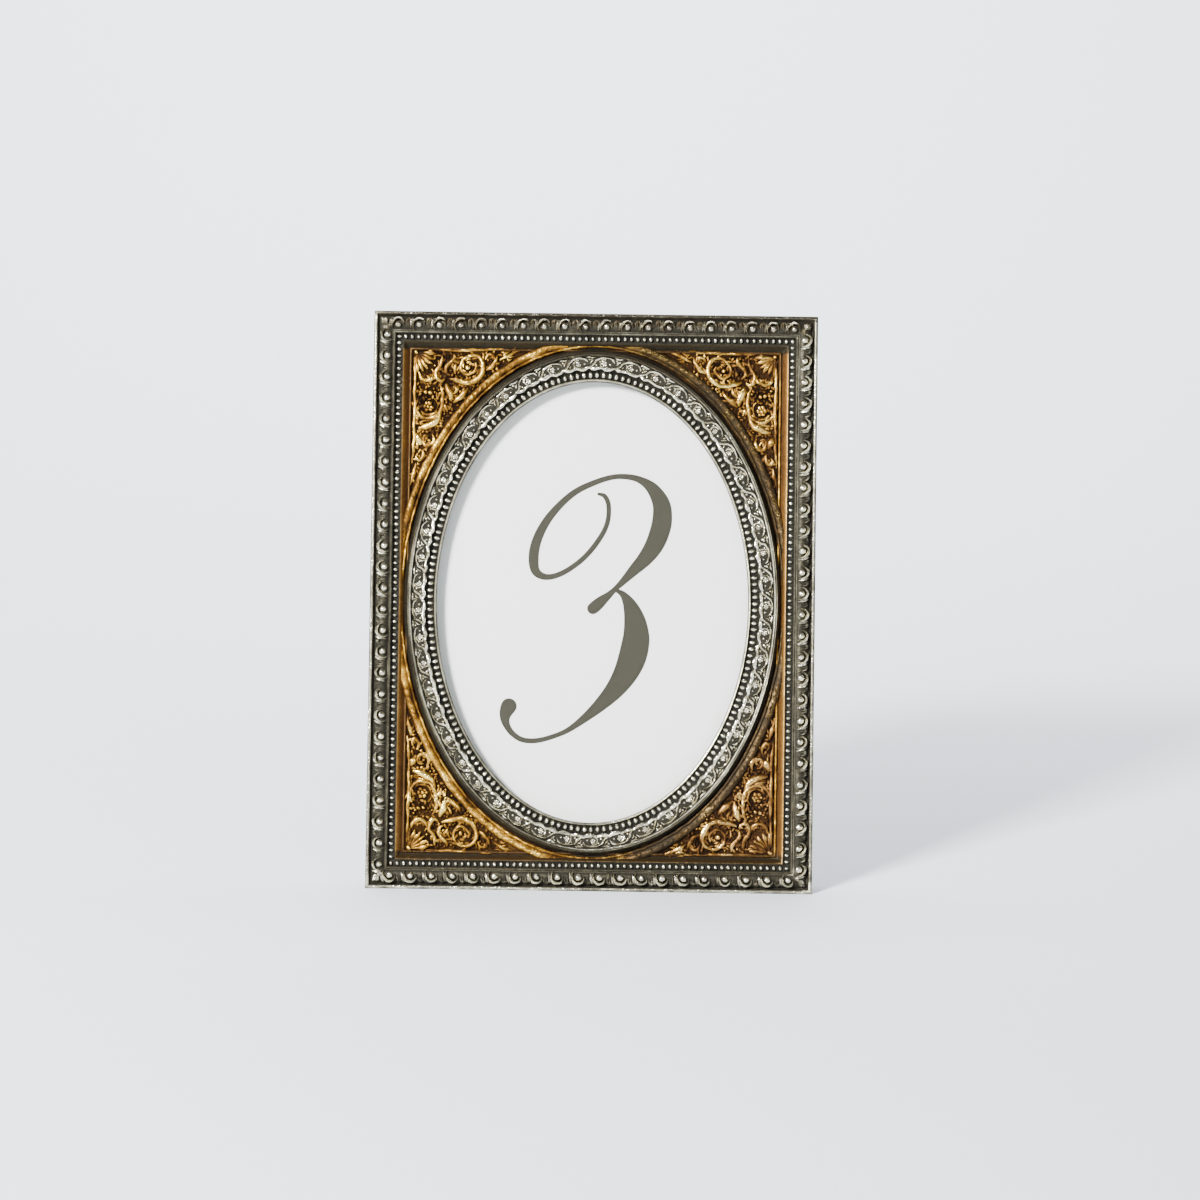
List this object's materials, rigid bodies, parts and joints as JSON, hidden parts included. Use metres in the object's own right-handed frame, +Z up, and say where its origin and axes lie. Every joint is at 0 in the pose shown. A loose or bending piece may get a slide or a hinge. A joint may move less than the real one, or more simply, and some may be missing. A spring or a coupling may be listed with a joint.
{
  "type": "table number holder",
  "caption": "Ornate cast frame with an oval opening that shows a number card behind glass, standing on a folding strut.",
  "frame": {"origin": "on the table, midway between the outermost points in X and Y of the standing holder", "axes": "+X to the viewer's right, -Y towards the viewer, +Z up; the frame leans back 12 degrees towards +Y"},
  "size_m": [0.171, 0.0804, 0.2171],
  "materials": {
    "casting": "satin",
    "glass": "gloss",
    "card": "matte",
    "greyboard": "matte",
    "fibreboard": "matte",
    "velvet": "matte",
    "hardware": "satin",
    "ribbon": "satin"
  },
  "bodies": {
    "frame": {"frame_casting": "casting", "glass_pane": "glass", "number_card": "card", "filler_card": "greyboard", "back_board": "fibreboard", "back_velvet": "velvet", "hinge_leaf_fixed": "hardware", "hinge_pin": "hardware", "back_rivet_left": "hardware", "back_rivet_right": "hardware", "ribbon_stay": "ribbon", "ribbon_staple_back": "hardware", "turn_screw_left_lower": "hardware", "turn_screw_left_upper": "hardware", "turn_screw_right_lower": "hardware", "turn_screw_right_upper": "hardware"},
    "strut": {"strut_board": "fibreboard", "strut_velvet": "velvet", "hinge_leaf_moving": "hardware", "strut_rivet_left": "hardware", "strut_rivet_right": "hardware", "ribbon_staple_strut": "hardware"},
    "turn_button_left_lower": {"turn_button_left_lower": "hardware"},
    "turn_button_left_upper": {"turn_button_left_upper": "hardware"},
    "turn_button_right_lower": {"turn_button_right_lower": "hardware"},
    "turn_button_right_upper": {"turn_button_right_upper": "hardware"}
  },
  "joints": [
    {"name": "strut_fold", "type": "hinge", "parent": "frame", "child": "strut", "pos_m": [0, 0.00776, 0.14536], "axis": [-1, 0, 0], "range_deg": [0, 22], "deforming": ["ribbon_stay"]},
    {"name": "turn_button_left_lower_turn", "type": "hinge", "parent": "frame", "child": "turn_button_left_lower", "pos_m": [-0.0715, -0.0133, 0.05374], "axis": [0, 0.9781, -0.2079], "continuous": true},
    {"name": "turn_button_left_upper_turn", "type": "hinge", "parent": "frame", "child": "turn_button_left_upper", "pos_m": [-0.0715, 0.00916, 0.15938], "axis": [0, 0.9781, -0.2079], "continuous": true},
    {"name": "turn_button_right_lower_turn", "type": "hinge", "parent": "frame", "child": "turn_button_right_lower", "pos_m": [0.0715, -0.0133, 0.05374], "axis": [0, 0.9781, -0.2079], "continuous": true},
    {"name": "turn_button_right_upper_turn", "type": "hinge", "parent": "frame", "child": "turn_button_right_upper", "pos_m": [0.0715, 0.00916, 0.15938], "axis": [0, 0.9781, -0.2079], "continuous": true}
  ]
}
